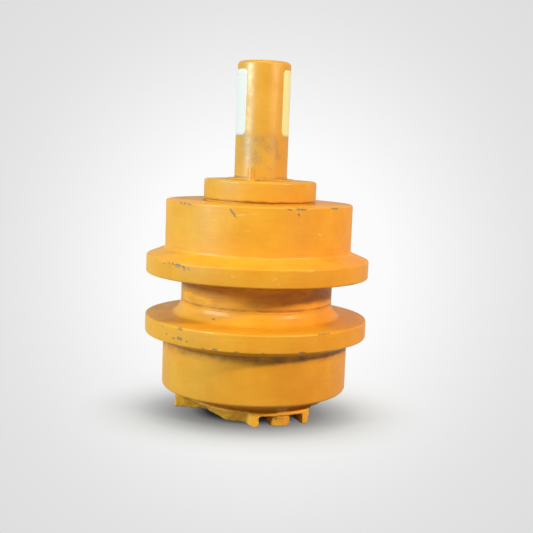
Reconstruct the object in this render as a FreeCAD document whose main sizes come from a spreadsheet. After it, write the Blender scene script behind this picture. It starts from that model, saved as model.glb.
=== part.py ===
import FreeCAD, Part
import os
import Sketcher

# Carrier roller for the track of a large crawler machine. It stands on its end cap with its shaft
# pointing up: Z is the roller's axis, the origin is on that axis at the feet of the cap's bolt guards,
# and -Y is the front. Lengths are millimetres and angles are degrees. "Inner" is the bearing beside
# the machine's bracket, at the top here, and "outer" is the one beside the end cap.
SIZES = {
    # Rolled faces and flanges of the shell
    "tread_diameter": 230.0,
    "flange_diameter": 275.2,
    "rim_width": 21.1,
    "groove_width": 52.2,
    "inner_land": 67.9,
    "outer_land": 68.3,
    "waist_diameter": 187.6,
    "flange_slope": 22.0,
    "underside_slope": 5.0,
    "crease_width": 35.0,
    "crease_slope": 3.0,
    "flare_slope": 52.0,
    "weld_bead_size": 3.4,
    "weld_bead_sink": 1.0,
    # Roundings of the shell
    "tread_round": 4.0,
    "inner_root_round": 9.0,
    "outer_root_round": 13.0,
    "crease_round": 7.0,
    "rim_round": 2.0,
    "inner_edge_round": 2.0,
    "outer_edge_round": 4.0,
    # Inside of the shell
    "chamber_step": 8.0,
    "inner_stop_height": 7.5,
    "outer_stop_height": 6.5,
    "stop_width": 8.0,
    "cap_bore_step": 5.0,
    "cap_bore_depth": 16.0,
    "cap_bore_lead": 1.5,
    # Shaft
    "shaft_diameter": 65.0,
    "shaft_reach": 142.8,
    "shaft_end_round": 5.0,
    "centre_hole_diameter": 10.0,
    "centre_hole_depth": 8.0,
    "seat_step": 0.5,
    "seat_proud": 1.0,
    "shoulder_height": 7.0,
    "shoulder_width": 16.0,
    "barrel_step": 3.0,
    "outer_seat_step": 2.5,
    "seat_overrun": 3.0,
    "thread_step": 2.5,
    "thread_overrun": 4.0,
    "thread_chamfer": 1.5,
    "key_slot_width": 6.0,
    "key_slot_depth": 3.0,
    # Seal collar and its dowel
    "collar_overhang": 2.7,
    "collar_roof": 13.0,
    "collar_round": 3.0,
    "running_gap": 2.5,
    "hub_ring_width": 9.0,
    "hub_ring_height": 2.0,
    "hub_ring_chamfer": 1.0,
    "dust_lip_thickness": 2.6,
    "dust_lip_drop": 4.5,
    "labyrinth_gap": 1.2,
    "dowel_diameter": 9.0,
    "dowel_proud": 15.3,
    "dowel_floor": 3.5,
    "dowel_offset": 8.0,
    "dowel_angle": -12.7,
    "dowel_chamfer": 0.8,
    "dowel_press_step": 0.5,
    "dowel_press_proud": 0.5,
    # Face seal: two lapped metal rings, each pressed by a rubber ring on a slope
    "seal_floor_step": 0.5,
    "seal_slope": 15.0,
    "seal_depth": 12.5,
    "seal_face_rise": 1.0,
    "seal_ring_gap": 5.0,
    "seal_ring_height": 11.0,
    "seal_lip_gap": 5.4,
    "seal_lip_height": 2.4,
    "seal_face_width": 6.5,
    "seal_relief": 0.6,
    "rubber_space": 10.0,
    "rubber_offset": 7.4,
    # Tapered roller bearing beside the bracket
    "inner_bearing_depth": 21.0,
    "inner_cone_wall": 4.5,
    "inner_cup_wall": 7.5,
    "inner_race_angle": 15.0,
    "inner_roller_diameter": 15.0,
    "inner_roller_length": 23.0,
    "inner_rib_side": 4.0,
    "inner_small_side": 1.0,
    "inner_cup_standout": 1.75,
    "inner_cup_margin": 4.0,
    # Tapered roller bearing beside the end cap
    "outer_bearing_depth": 29.2,
    "outer_cone_wall": 4.2,
    "outer_cup_wall": 6.3,
    "outer_race_angle": 15.0,
    "outer_roller_diameter": 12.0,
    "outer_roller_length": 18.0,
    "outer_rib_side": 3.2,
    "outer_small_side": 0.8,
    "outer_cup_standout": 1.75,
    "outer_cup_margin": 3.0,
    # Both bearings
    "large_rib": 3.0,
    "small_rib": 1.6,
    "cage_thickness": 1.6,
    "cage_offset": 1.8,
    "cage_ring": 2.4,
    "cage_lip": 3.0,
    "bearing_corner": 1.5,
    # Nut and tab washer on the outer end of the shaft
    "nut_wall": 10.0,
    "nut_height": 11.0,
    "nut_chamfer": 1.5,
    "nut_slot_width": 8.0,
    "nut_slot_depth": 4.0,
    "tab_washer_thickness": 1.5,
    "tab_washer_wall": 8.0,
    "tab_width": 6.0,
    "tab_reach": 5.5,
    # End cap
    "cap_flange_wall": 7.0,
    "cap_flange_thickness": 10.0,
    "cap_ledge_width": 4.0,
    "cap_ledge_drop": 1.5,
    "cap_cone_width": 11.0,
    "cap_nose_lift": 2.0,
    "cap_spigot_wall": 10.0,
    "cap_floor_wall": 3.0,
    "plug_recess_gap": 6.0,
    "plug_recess_depth": 6.5,
    "plug_boss_wall": 11.0,
    "plug_boss_height": 9.0,
    "cap_turn": 21.2,
    # Guards of the cap's bolts
    "guard_overhang": 2.0,
    "guard_foot_reach": 24.5,
    "guard_top_reach": 26.5,
    "guard_wall": 9.5,
    "guard_web": 5.0,
    "guard_back": 13.0,
    "guard_pocket": 11.0,
    "guard_clearance": 0.2,
    "arch_round": 2.0,
    "foot_round": 1.5,
    "bolt_boss_wall": 4.5,
    # Cap bolts and their spring washers
    "bolt_offset": 31.0,
    "bolt_diameter": 16.0,
    "bolt_length": 38.0,
    "bolt_head_width": 24.0,
    "bolt_head_height": 10.0,
    "bolt_head_bevel": 1.6,
    "bolt_tip_chamfer": 1.5,
    "bolt_hole_gap": 0.75,
    "drill_overrun": 6.0,
    "spring_washer_wall": 5.0,
    "spring_washer_thickness": 2.6,
    "spring_washer_split": 2.0,
    # Oil plug
    "plug_diameter": 20.0,
    "plug_length": 16.0,
    "plug_head_width": 17.0,
    "plug_head_height": 4.0,
    "plug_flange_rim": 4.0,
    "plug_flange_height": 2.0,
    "plug_washer_wall": 3.5,
    "plug_washer_thickness": 1.5,
    # Round rings in the collar's and the cap's joints
    "collar_ring_section": 3.5,
    "collar_ring_lift": 8.0,
    "cap_ring_section": 3.5,
    "cap_ring_lift": 7.0,
    "ring_slot_margin": 1.0,
    # Clearances
    "seat_gap": 0.02,
    "race_gap": 0.05,
    "rib_gap": 0.15,
    "pocket_gap": 0.3,
    "thread_gap": 0.1,
    "film_gap": 0.02,
    "squeeze_gap": 0.05,
}
BAY_COUNT = 3
ROLLER_COUNT = 16
NUT_SLOT_COUNT = 4
WASHER_TAB_COUNT = 12
QUARTER_TURN = 90
FULL_TURN = 360
SAME_PLACE = 0.01

doc = FreeCAD.newDocument("carrier_roller")
sheet = doc.addObject("Spreadsheet::Sheet", "sizes")
for row, (alias, number) in enumerate(SIZES.items(), start=1):
    sheet.set(f"A{row}", alias)
    sheet.set(f"B{row}", str(number))
    sheet.setAlias(f"B{row}", alias)
doc.recompute()


def size(alias):
    """The expression that reads one cell of the sheet."""
    return f"sizes.{alias}"


def half(alias):
    """The expression for the radius that belongs to a diameter in the sheet."""
    return f"(sizes.{alias} / 2)"


def plus(*terms):
    """The expression for a sum."""
    return "(" + " + ".join(terms) + ")"


def minus(first, *others):
    """The expression for a difference."""
    return "(" + " - ".join((first,) + others) + ")"


def value(expression):
    """The number that an expression has now."""
    return float(sheet.evalExpression(expression))


# Radii of the assembly, from the shaft outwards.
shaft_radius = half("shaft_diameter")
seat_radius = plus(shaft_radius, size("seat_step"))
barrel_radius = minus(seat_radius, size("barrel_step"))
outer_seat_radius = minus(barrel_radius, size("outer_seat_step"))
thread_radius = minus(outer_seat_radius, size("thread_step"))
shoulder_radius = plus(seat_radius, size("shoulder_height"))
inner_race_radius = plus(seat_radius, size("inner_cone_wall"), size("inner_roller_diameter"))
outer_race_radius = plus(outer_seat_radius, size("outer_cone_wall"), size("outer_roller_diameter"))
inner_cup_radius = plus(inner_race_radius, size("inner_cup_wall"))
outer_cup_radius = plus(outer_race_radius, size("outer_cup_wall"))
seal_mouth_radius = plus(inner_cup_radius, size("seat_gap"), size("seal_floor_step"),
                         f"{size('seal_depth')} * tan({size('seal_slope')})")
dust_lip_radius = plus(seal_mouth_radius, size("dust_lip_thickness"))
collar_radius = plus(dust_lip_radius, size("collar_overhang"))
hub_ring_radius = plus(seat_radius, size("hub_ring_width"))
dowel_circle = plus(hub_ring_radius, size("dowel_offset"))
dowel_press_radius = plus(half("dowel_diameter"), size("dowel_press_step"))
cap_bore_radius = plus(outer_cup_radius, size("cap_bore_step"))
bolt_circle = plus(cap_bore_radius, size("bolt_offset"))
bolt_radius = half("bolt_diameter")
cap_flange_radius = plus(bolt_circle, size("cap_flange_wall"))
cap_ledge_radius = plus(cap_flange_radius, size("cap_ledge_width"))
guard_radius = plus(cap_ledge_radius, size("guard_overhang"))
plug_radius = half("plug_diameter")
plug_flange_radius = plus(plug_radius, size("plug_flange_rim"))
nut_radius = plus(thread_radius, size("nut_wall"))

# Heights of the assembly, from the feet of the guards to the end of the shaft.
bolt_seat = plus(size("guard_clearance"), size("bolt_head_height"), size("spring_washer_thickness"))
cap_ledge = plus(bolt_seat, size("guard_web"))
shell_bottom = plus(cap_ledge, size("cap_flange_thickness"))
outer_rim_bottom = plus(shell_bottom, size("outer_land"))
outer_rim_top = plus(outer_rim_bottom, size("rim_width"))
inner_rim_bottom = plus(outer_rim_top, size("groove_width"))
inner_rim_top = plus(inner_rim_bottom, size("rim_width"))
shell_top = plus(inner_rim_top, size("inner_land"))
seal_face = plus(shell_top, size("seal_face_rise"))
collar_bottom = plus(shell_top, size("running_gap"))
collar_cavity_top = plus(seal_face, size("seal_depth"))
collar_top = plus(collar_cavity_top, size("collar_roof"))
dowel_bottom = plus(collar_cavity_top, size("dowel_floor"))
hub_top = plus(collar_top, size("hub_ring_height"))
journal_start = plus(hub_top, size("seat_proud"))
shaft_end = plus(collar_top, size("shaft_reach"))
inner_back = minus(shell_top, size("inner_bearing_depth"))
outer_back = plus(shell_bottom, size("outer_bearing_depth"))
shoulder_top = plus(inner_back, size("shoulder_width"))
nut_top = minus(outer_back, size("tab_washer_thickness"))
nut_bottom = minus(nut_top, size("nut_height"))
thread_end = minus(nut_bottom, size("thread_overrun"))


def bearing_depths(side):
    """Depths from a bearing's clamped face: roller's middle, cone's front, cup's front and cup's back."""
    middle = plus(size("large_rib"), size(f"{side}_rib_side"), half(f"{side}_roller_length"))
    cone_front = plus(middle, half(f"{side}_roller_length"), size(f"{side}_small_side"))
    cup_back = plus(cone_front, size(f"{side}_cup_standout"))
    cup_front = minus(cup_back, size(f"{side}_roller_length"), size(f"{side}_cup_margin"))
    return middle, cone_front, cup_front, cup_back


inner_cup_back = minus(inner_back, bearing_depths("inner")[-1])
outer_cup_back = plus(outer_back, bearing_depths("outer")[-1])


def origin_part(body, role):
    """A body's own base plane or base axis."""
    return next(part for part in body.Origin.OriginFeatures if part.Role == role)


def new_body(label):
    body = doc.addObject("PartDesign::Body", label)
    body.Label = label
    return body


def new_sketch(body, name, plane, lift=None):
    """A sketch on one of the body's own planes, moved along the plane's normal by an expression."""
    sketch = body.newObject("Sketcher::SketchObject", name)
    sketch.AttachmentSupport = [(origin_part(body, plane), "")]
    sketch.MapMode = "FlatFace"
    if lift:
        sketch.setExpression("AttachmentOffset.Base.z", lift)
    return sketch


def pin_point(sketch, line, across, up):
    """Ties the start of a line to its two coordinates, each an expression."""
    if across == "0":
        sketch.addConstraint(Sketcher.Constraint("PointOnObject", line, 1, -2))
    else:
        tie = sketch.addConstraint(Sketcher.Constraint("DistanceX", -1, 1, line, 1, value(across)))
        sketch.setExpression(f"Constraints[{tie}]", across)
    if up == "0":
        sketch.addConstraint(Sketcher.Constraint("PointOnObject", line, 1, -1))
    else:
        tie = sketch.addConstraint(Sketcher.Constraint("DistanceY", -1, 1, line, 1, value(up)))
        sketch.setExpression(f"Constraints[{tie}]", up)


def draw_outline(sketch, corners):
    """A closed outline through corners that are given as pairs of expressions."""
    spots = [FreeCAD.Vector(value(across), value(up), 0) for across, up in corners]
    lines = []
    for start, end in zip(spots, spots[1:] + spots[:1]):
        lines.append(sketch.addGeometry(Part.LineSegment(start, end), False))
    for line, after in zip(lines, lines[1:] + lines[:1]):
        sketch.addConstraint(Sketcher.Constraint("Coincident", line, 2, after, 1))
    for line, (across, up) in zip(lines, corners):
        pin_point(sketch, line, across, up)
    return sketch


def draw_circle(sketch, across, up, radius):
    """A circle whose centre and radius are expressions."""
    centre = FreeCAD.Vector(value(across), value(up), 0)
    ring = sketch.addGeometry(Part.Circle(centre, FreeCAD.Vector(0, 0, 1), value(radius)), False)
    if across == "0":
        sketch.addConstraint(Sketcher.Constraint("PointOnObject", ring, 3, -2))
    else:
        tie = sketch.addConstraint(Sketcher.Constraint("DistanceX", -1, 1, ring, 3, value(across)))
        sketch.setExpression(f"Constraints[{tie}]", across)
    tie = sketch.addConstraint(Sketcher.Constraint("DistanceY", -1, 1, ring, 3, value(up)))
    sketch.setExpression(f"Constraints[{tie}]", up)
    tie = sketch.addConstraint(Sketcher.Constraint("Radius", ring, value(radius)))
    sketch.setExpression(f"Constraints[{tie}]", radius)
    return sketch


def spin(body, kind, name, sketch, axis="V_Axis"):
    """A full turn of a sketch: kind is Revolution or Groove, and axis is the upright one unless named."""
    turn = body.newObject(f"PartDesign::{kind}", name)
    turn.Profile = sketch
    turn.ReferenceAxis = (sketch, [axis])
    turn.Angle = FULL_TURN
    return turn


def turned(label, corners):
    """A body turned about Z from the (radius, height) corners of its half section."""
    body = new_body(label)
    sketch = draw_outline(new_sketch(body, "half_section", "XZ_Plane"), corners)
    spin(body, "Revolution", "turned_form", sketch)
    return body


def cut(body, name, sketch, length=None, upwards=False):
    """A pocket of the sketch: right through both ways, or of a length towards or against its normal."""
    pocket = body.newObject("PartDesign::Pocket", name)
    pocket.Profile = sketch
    if length is None:
        pocket.Type = "ThroughAll"
        pocket.Midplane = True
    else:
        pocket.setExpression("Length", length)
        pocket.Reversed = upwards
    return pocket


def pad(body, name, sketch, length, middle=False):
    """A pad of the sketch along its normal, or half to each side of its plane."""
    block = body.newObject("PartDesign::Pad", name)
    block.Profile = sketch
    block.setExpression("Length", length)
    block.Midplane = middle
    return block


def around(body, name, features, count):
    """Repeats features evenly round Z."""
    ring = body.newObject("PartDesign::PolarPattern", name)
    ring.Originals = features
    ring.Axis = (origin_part(body, "Z_Axis"), [""])
    ring.Angle = FULL_TURN
    ring.Occurrences = count
    body.Tip = ring
    return ring


def ring_edges(shape, corners):
    """Names of the shape's level circles about Z with the given radii and heights."""
    spots = [(value(radius), value(height)) for radius, height in corners]
    names = []
    for number, edge in enumerate(shape.Edges, start=1):
        if not isinstance(edge.Curve, Part.Circle):
            continue
        centre = edge.Curve.Center
        if abs(centre.x) + abs(centre.y) > SAME_PLACE:
            continue
        for radius, height in spots:
            if abs(edge.Curve.Radius - radius) < SAME_PLACE and abs(centre.z - height) < SAME_PLACE:
                names.append(f"Edge{number}")
    return names


def dress(body, kind, name, amount, edges):
    """A Fillet or Chamfer of the named edges of the body's last shape."""
    base = body.Tip
    feature = body.newObject(f"PartDesign::{kind}", name)
    feature.Base = (base, edges)
    feature.setExpression("Radius" if kind == "Fillet" else "Size", amount)
    body.Tip = feature
    return feature


def dress_rings(body, kind, name, amount, corners):
    """Rounds or bevels the turned edges at the given (radius, height) corners."""
    doc.recompute()
    return dress(body, kind, name, amount, ring_edges(body.Tip.Shape, corners))


def place_on_circle(piece, radius, angle):
    """Moves a piece out from the axis, at an angle from the front towards the right."""
    piece.setExpression("Placement.Base.x", f"{radius} * sin({angle})")
    piece.setExpression("Placement.Base.y", f"-{radius} * cos({angle})")


def turn_about_axis(piece, angle):
    about_z = FreeCAD.Rotation(FreeCAD.Vector(0, 0, 1), value(angle))
    piece.Placement = FreeCAD.Placement(FreeCAD.Vector(), about_z)
    piece.setExpression("Placement.Rotation.Angle", angle)


def seal_slope_radius(depth):
    """Radius of a seal housing's slope at a depth from the plane where the two metal rings meet."""
    return f"({seal_mouth_radius} - {depth} * tan({size('seal_slope')}))"


def make_shaft():
    """The shaft: the bracket's end at the top, then the shoulder, two bearing seats and the nut's thread."""
    groove_low = plus(shoulder_top, size("collar_ring_lift"))
    groove_high = plus(groove_low, size("collar_ring_section"), size("ring_slot_margin"))
    groove_floor = minus(seat_radius, size("collar_ring_section"))
    outer_seat_end = plus(outer_back, bearing_depths("outer")[1], size("seat_overrun"))
    inner_seat_end = minus(inner_back, bearing_depths("inner")[1], size("seat_overrun"))
    shaft = turned("shaft", [
        ("0", thread_end),
        (minus(thread_radius, size("thread_chamfer")), thread_end),
        (thread_radius, plus(thread_end, size("thread_chamfer"))),
        (thread_radius, plus(outer_back, size("thread_chamfer"))),
        (outer_seat_radius, plus(outer_back, size("thread_chamfer"))),
        (outer_seat_radius, outer_seat_end),
        (barrel_radius, plus(outer_seat_end, size("barrel_step"))),
        (barrel_radius, minus(inner_seat_end, size("barrel_step"))),
        (seat_radius, inner_seat_end),
        (seat_radius, inner_back),
        (shoulder_radius, inner_back),
        (shoulder_radius, shoulder_top),
        (seat_radius, shoulder_top),
        (seat_radius, groove_low),
        (groove_floor, groove_low),
        (groove_floor, groove_high),
        (seat_radius, groove_high),
        (seat_radius, journal_start),
        (shaft_radius, plus(journal_start, size("seat_step"))),
        (shaft_radius, shaft_end),
        (half("centre_hole_diameter"), shaft_end),
        ("0", minus(shaft_end, size("centre_hole_depth"))),
    ])
    dress_rings(shaft, "Fillet", "end_round", size("shaft_end_round"), [(shaft_radius, shaft_end)])
    slot_floor = minus(thread_radius, size("key_slot_depth"))
    slot_out = plus(thread_radius, size("key_slot_depth"))
    slot = draw_outline(new_sketch(shaft, "key_slot_side", "XZ_Plane"), [
        (slot_floor, minus(thread_end, size("thread_overrun"))),
        (slot_out, minus(thread_end, size("thread_overrun"))),
        (slot_out, outer_back),
        (slot_floor, outer_back),
    ])
    key_slot = shaft.newObject("PartDesign::Pocket", "key_slot")
    key_slot.Profile = slot
    key_slot.setExpression("Length", size("key_slot_width"))
    key_slot.Midplane = True
    return shaft


def make_collar():
    """The fixed seal collar: its lip dips into the shell and its hub sits on the shaft."""
    bore = plus(seat_radius, size("seat_gap"))
    lip_bottom = minus(collar_bottom, size("dust_lip_drop"))
    collar = turned("seal_collar", [
        (bore, shoulder_top),
        (shoulder_radius, shoulder_top),
        (shoulder_radius, collar_cavity_top),
        (seal_slope_radius(size("seal_depth")), collar_cavity_top),
        (seal_slope_radius("0"), seal_face),
        (seal_slope_radius("0"), lip_bottom),
        (dust_lip_radius, lip_bottom),
        (dust_lip_radius, collar_bottom),
        (collar_radius, collar_bottom),
        (collar_radius, collar_top),
        (hub_ring_radius, collar_top),
        (minus(hub_ring_radius, size("hub_ring_chamfer")), hub_top),
        (bore, hub_top),
    ])
    dress_rings(collar, "Fillet", "top_round", size("collar_round"), [(collar_radius, collar_top)])
    hole = new_sketch(collar, "dowel_hole_circle", "XY_Plane", collar_top)
    draw_circle(hole, f"{dowel_circle} * sin({size('dowel_angle')})",
                f"-{dowel_circle} * cos({size('dowel_angle')})",
                plus(dowel_press_radius, size("seat_gap")))
    cut(collar, "dowel_hole", hole, minus(collar_top, dowel_bottom))
    return collar


def make_dowel():
    """The dowel that stops the collar and shaft from turning in the bracket."""
    pin_radius = half("dowel_diameter")
    press_top = plus(collar_top, size("dowel_press_proud"))
    high = plus(collar_top, size("dowel_proud"))
    dowel = turned("dowel_pin", [
        ("0", dowel_bottom),
        (minus(dowel_press_radius, size("dowel_chamfer")), dowel_bottom),
        (dowel_press_radius, plus(dowel_bottom, size("dowel_chamfer"))),
        (dowel_press_radius, press_top),
        (pin_radius, plus(press_top, size("dowel_press_step"))),
        (pin_radius, minus(high, size("dowel_chamfer"))),
        (minus(pin_radius, size("dowel_chamfer")), high),
        ("0", high),
    ])
    place_on_circle(dowel, dowel_circle, size("dowel_angle"))
    return dowel


def make_rubber(label, height, ring_radius, section_radius):
    """A round rubber ring."""
    ring = doc.addObject("Part::Torus", label)
    ring.Label = label
    ring.setExpression("Radius1", ring_radius)
    ring.setExpression("Radius2", section_radius)
    ring.setExpression("Placement.Base.z", height)
    return ring


def make_seal_half(side, away):
    """One half of the face seal: away is plus for the fixed half, minus for the running one."""
    def at(depth):
        return away(away(seal_face, size("film_gap")), depth)

    def ring_slope(depth):
        return minus(seal_slope_radius(depth), size("rubber_space"))

    bore = plus(shoulder_radius, size("seal_ring_gap"))
    lip = minus(seal_mouth_radius, size("seal_lip_gap"))
    metal = turned(f"{side}_seal_ring", [
        (bore, at(size("seal_relief"))),
        (minus(lip, size("seal_face_width")), at("0")),
        (lip, at("0")),
        (lip, at(size("seal_lip_height"))),
        (ring_slope(size("seal_lip_height")), at(size("seal_lip_height"))),
        (ring_slope(size("seal_ring_height")), at(size("seal_ring_height"))),
        (bore, at(size("seal_ring_height"))),
    ])
    middle = minus(seal_slope_radius(size("rubber_offset")), half("rubber_space"))
    section = minus(f"({half('rubber_space')} * cos({size('seal_slope')}))", size("squeeze_gap"))
    rubber = make_rubber(f"{side}_seal_rubber", at(size("rubber_offset")), middle, section)
    return [metal, rubber]


def make_shell():
    """The roller shell: two treads, two flanges and the waist between them, bored for what it holds."""
    tread = half("tread_diameter")
    flange = half("flange_diameter")
    waist = half("waist_diameter")
    crease = minus(flange, size("crease_width"))
    chamber = plus(inner_cup_radius, size("chamber_step"))
    cone_height = f"(({flange} - {tread}) * tan({size('flange_slope')}))"
    outer_cone_foot = minus(outer_rim_bottom, cone_height)
    inner_cone_foot = plus(inner_rim_top, cone_height)
    crease_height = plus(outer_rim_top, f"{size('crease_width')} * tan({size('crease_slope')})")
    outer_root = plus(crease_height, f"({crease} - {waist}) * tan({size('flare_slope')})")
    inner_root = minus(inner_rim_bottom, f"({flange} - {waist}) * tan({size('underside_slope')})")
    labyrinth = plus(dust_lip_radius, size("labyrinth_gap"))
    labyrinth_floor = minus(collar_bottom, size("dust_lip_drop"), size("labyrinth_gap"))
    seal_floor = minus(seal_face, size("seal_depth"))
    inner_seat = plus(inner_cup_radius, size("seat_gap"))
    outer_seat = plus(outer_cup_radius, size("seat_gap"))
    inner_stop = minus(inner_cup_radius, size("inner_stop_height"))
    outer_stop = minus(outer_cup_radius, size("outer_stop_height"))
    cap_bore_top = plus(shell_bottom, size("cap_bore_depth"))
    shell = turned("roller_shell", [
        (cap_bore_radius, plus(shell_bottom, size("cap_bore_lead"))),
        (plus(cap_bore_radius, size("cap_bore_lead")), shell_bottom),
        (tread, shell_bottom),
        (tread, outer_cone_foot),
        (flange, outer_rim_bottom),
        (flange, outer_rim_top),
        (crease, crease_height),
        (waist, outer_root),
        (waist, inner_root),
        (flange, inner_rim_bottom),
        (flange, inner_rim_top),
        (tread, inner_cone_foot),
        (tread, shell_top),
        (labyrinth, shell_top),
        (labyrinth, labyrinth_floor),
        (seal_slope_radius(minus(seal_face, labyrinth_floor)), labyrinth_floor),
        (seal_slope_radius(size("seal_depth")), seal_floor),
        (inner_seat, seal_floor),
        (inner_seat, inner_cup_back),
        (inner_stop, inner_cup_back),
        (inner_stop, minus(inner_cup_back, size("stop_width"))),
        (chamber, minus(inner_cup_back, size("stop_width"), minus(chamber, inner_stop))),
        (chamber, plus(outer_cup_back, size("stop_width"), minus(chamber, outer_stop))),
        (outer_stop, plus(outer_cup_back, size("stop_width"))),
        (outer_stop, outer_cup_back),
        (outer_seat, outer_cup_back),
        (outer_seat, cap_bore_top),
        (cap_bore_radius, cap_bore_top),
    ])
    dress_rings(shell, "Fillet", "tread_rounds", size("tread_round"),
                [(tread, outer_cone_foot), (tread, inner_cone_foot)])
    dress_rings(shell, "Fillet", "outer_root_round", size("outer_root_round"), [(waist, outer_root)])
    dress_rings(shell, "Fillet", "inner_root_round", size("inner_root_round"), [(waist, inner_root)])
    dress_rings(shell, "Fillet", "crease_round", size("crease_round"), [(crease, crease_height)])
    rims = (outer_rim_bottom, outer_rim_top, inner_rim_bottom, inner_rim_top)
    dress_rings(shell, "Fillet", "rim_rounds", size("rim_round"), [(flange, height) for height in rims])
    dress_rings(shell, "Fillet", "outer_edge_round", size("outer_edge_round"), [(tread, shell_bottom)])
    dress_rings(shell, "Fillet", "inner_edge_round", size("inner_edge_round"), [(tread, shell_top)])

    flare_lean = f"(({QUARTER_TURN} - {size('flare_slope')}) / 2)"
    flare_foot = plus(outer_root, f"{size('outer_root_round')} * tan({flare_lean})")
    bead = new_sketch(shell, "weld_bead_section", "XZ_Plane")
    draw_circle(bead, minus(waist, size("weld_bead_sink")),
                minus(flare_foot, size("weld_bead_sink")), half("weld_bead_size"))
    spin(shell, "Revolution", "weld_bead", bead)

    hole = new_sketch(shell, "bolt_hole_circle", "XY_Plane", shell_bottom)
    draw_circle(hole, "0", f"-{bolt_circle}", plus(bolt_radius, size("thread_gap")))
    depth = minus(plus(size("bolt_length"), size("drill_overrun")), size("spring_washer_thickness"),
                  size("guard_web"), size("cap_flange_thickness"))
    tapped = cut(shell, "bolt_hole", hole, depth, upwards=True)
    around(shell, "bolt_holes", [tapped], BAY_COUNT)
    turn_about_axis(shell, size("cap_turn"))
    return shell


def make_bearing(side, seat, back, away):
    """A tapered roller bearing. Away leads from its clamped face to the apex where all its cones meet."""
    def from_apex(length):
        return f"({apex} + {length})" if away is minus else f"({apex} - {length})"

    middle, cone_front, cup_front, cup_back = bearing_depths(side)
    race_angle = size(f"{side}_race_angle")
    race_radius = plus(seat, size(f"{side}_cone_wall"), size(f"{side}_roller_diameter"))
    outside = plus(race_radius, size(f"{side}_cup_wall"))
    apex = away(away(back, middle), f"{race_radius} / tan({race_angle})")
    taper = f"(asin({half(f'{side}_roller_diameter')} * sin({race_angle}) / {race_radius}) / 1 deg)"
    tilt = f"({race_angle} - {taper})"
    reach = f"({race_radius} / sin({race_angle}) * cos({taper}))"
    near = minus(reach, half(f"{side}_roller_length"))
    far = plus(reach, half(f"{side}_roller_length"))

    def spot(along, out):
        """A point of the section: along the tilted roller's axis from the apex, then square out from it."""
        radius = f"({along} * sin({tilt}) + {out} * cos({tilt}))"
        height = from_apex(f"({along} * cos({tilt}) - {out} * sin({tilt}))")
        return radius, height

    def roller_radius(along):
        return f"({along} * tan({taper}))"

    near_rib = minus(near, size("rib_gap"))
    far_rib = plus(far, size("rib_gap"))
    small_top = spot(near_rib, f"({size('small_rib')} - {roller_radius(near)})")
    large_top = spot(far_rib, f"({size('large_rib')} - {roller_radius(far)})")
    bore = plus(seat, size("seat_gap"))
    front = away(back, cone_front)
    corner = size("bearing_corner")
    cone = turned(f"{side}_bearing_cone", [
        (bore, away(front, f"(-{corner})")),
        (plus(bore, corner), front),
        (small_top[0], front),
        small_top,
        spot(near_rib, f"(-{roller_radius(near_rib)})"),
        spot(far_rib, f"(-{roller_radius(far_rib)})"),
        large_top,
        (large_top[0], back),
        (plus(bore, corner), back),
        (bore, away(back, corner)),
    ])

    high, low = away(back, cup_back), away(back, cup_front)
    cup = turned(f"{side}_bearing_cup", [
        (minus(outside, corner), high),
        (outside, away(high, f"(-{corner})")),
        (outside, away(low, corner)),
        (minus(outside, corner), low),
        (plus(race_radius, f"{minus(middle, cup_front)} * tan({race_angle})"), low),
        (minus(race_radius, f"{minus(cup_back, middle)} * tan({race_angle})"), high),
    ])

    strip_in = size("cage_offset")
    strip_out = plus(size("cage_offset"), size("cage_thickness"))
    ring_near = minus(near, size("cage_ring"))
    lip_side = minus(near, size("cage_ring"), f"(-{size('cage_thickness')})")
    cage = turned(f"{side}_bearing_cage", [
        spot(ring_near, f"(-{size('cage_lip')})"),
        spot(lip_side, f"(-{size('cage_lip')})"),
        spot(lip_side, strip_in),
        spot(plus(far, size("cage_ring")), strip_in),
        spot(plus(far, size("cage_ring")), strip_out),
        spot(ring_near, strip_out),
    ])
    pocket_near = minus(near, size("pocket_gap"))
    pocket_far = plus(far, size("pocket_gap"))
    window = draw_outline(new_sketch(cage, "window_section", "XZ_Plane"), [
        spot(pocket_near, "0"),
        spot(pocket_far, "0"),
        spot(pocket_far, plus(roller_radius(pocket_far), size("pocket_gap"))),
        spot(pocket_near, plus(roller_radius(pocket_near), size("pocket_gap"))),
    ])
    axis = window.addGeometry(window.Geometry[0], True)
    window.addConstraint(Sketcher.Constraint("Coincident", axis, 1, 0, 1))
    window.addConstraint(Sketcher.Constraint("Coincident", axis, 2, 0, 2))
    first = spin(cage, "Groove", "window", window, "Axis0")
    around(cage, "windows", [first], ROLLER_COUNT)

    rollers = []
    for number in range(ROLLER_COUNT):
        angle = FULL_TURN * number / ROLLER_COUNT
        label = f"{side}_roller_{number + 1:02d}"
        roller = doc.addObject("Part::Cone", label)
        roller.Label = label
        roller.setExpression("Radius1", minus(roller_radius(near), size("race_gap")))
        roller.setExpression("Radius2", minus(roller_radius(far), size("race_gap")))
        roller.setExpression("Height", size(f"{side}_roller_length"))
        out_radius, height = spot(near, "0")
        tip_axis = FreeCAD.Rotation(FreeCAD.Vector(0, 0, 1), angle).multVec(FreeCAD.Vector(0, 1, 0))
        roller.Placement = FreeCAD.Placement(FreeCAD.Vector(), FreeCAD.Rotation(tip_axis, value(tilt)))
        roller.setExpression("Placement.Rotation.Angle", tilt if away is minus else f"(180 - {tilt})")
        roller.setExpression("Placement.Base.x", f"{out_radius} * cos({angle})")
        roller.setExpression("Placement.Base.y", f"{out_radius} * sin({angle})")
        roller.setExpression("Placement.Base.z", height)
        rollers.append(roller)
    return [cone, cup, cage] + rollers


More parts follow.
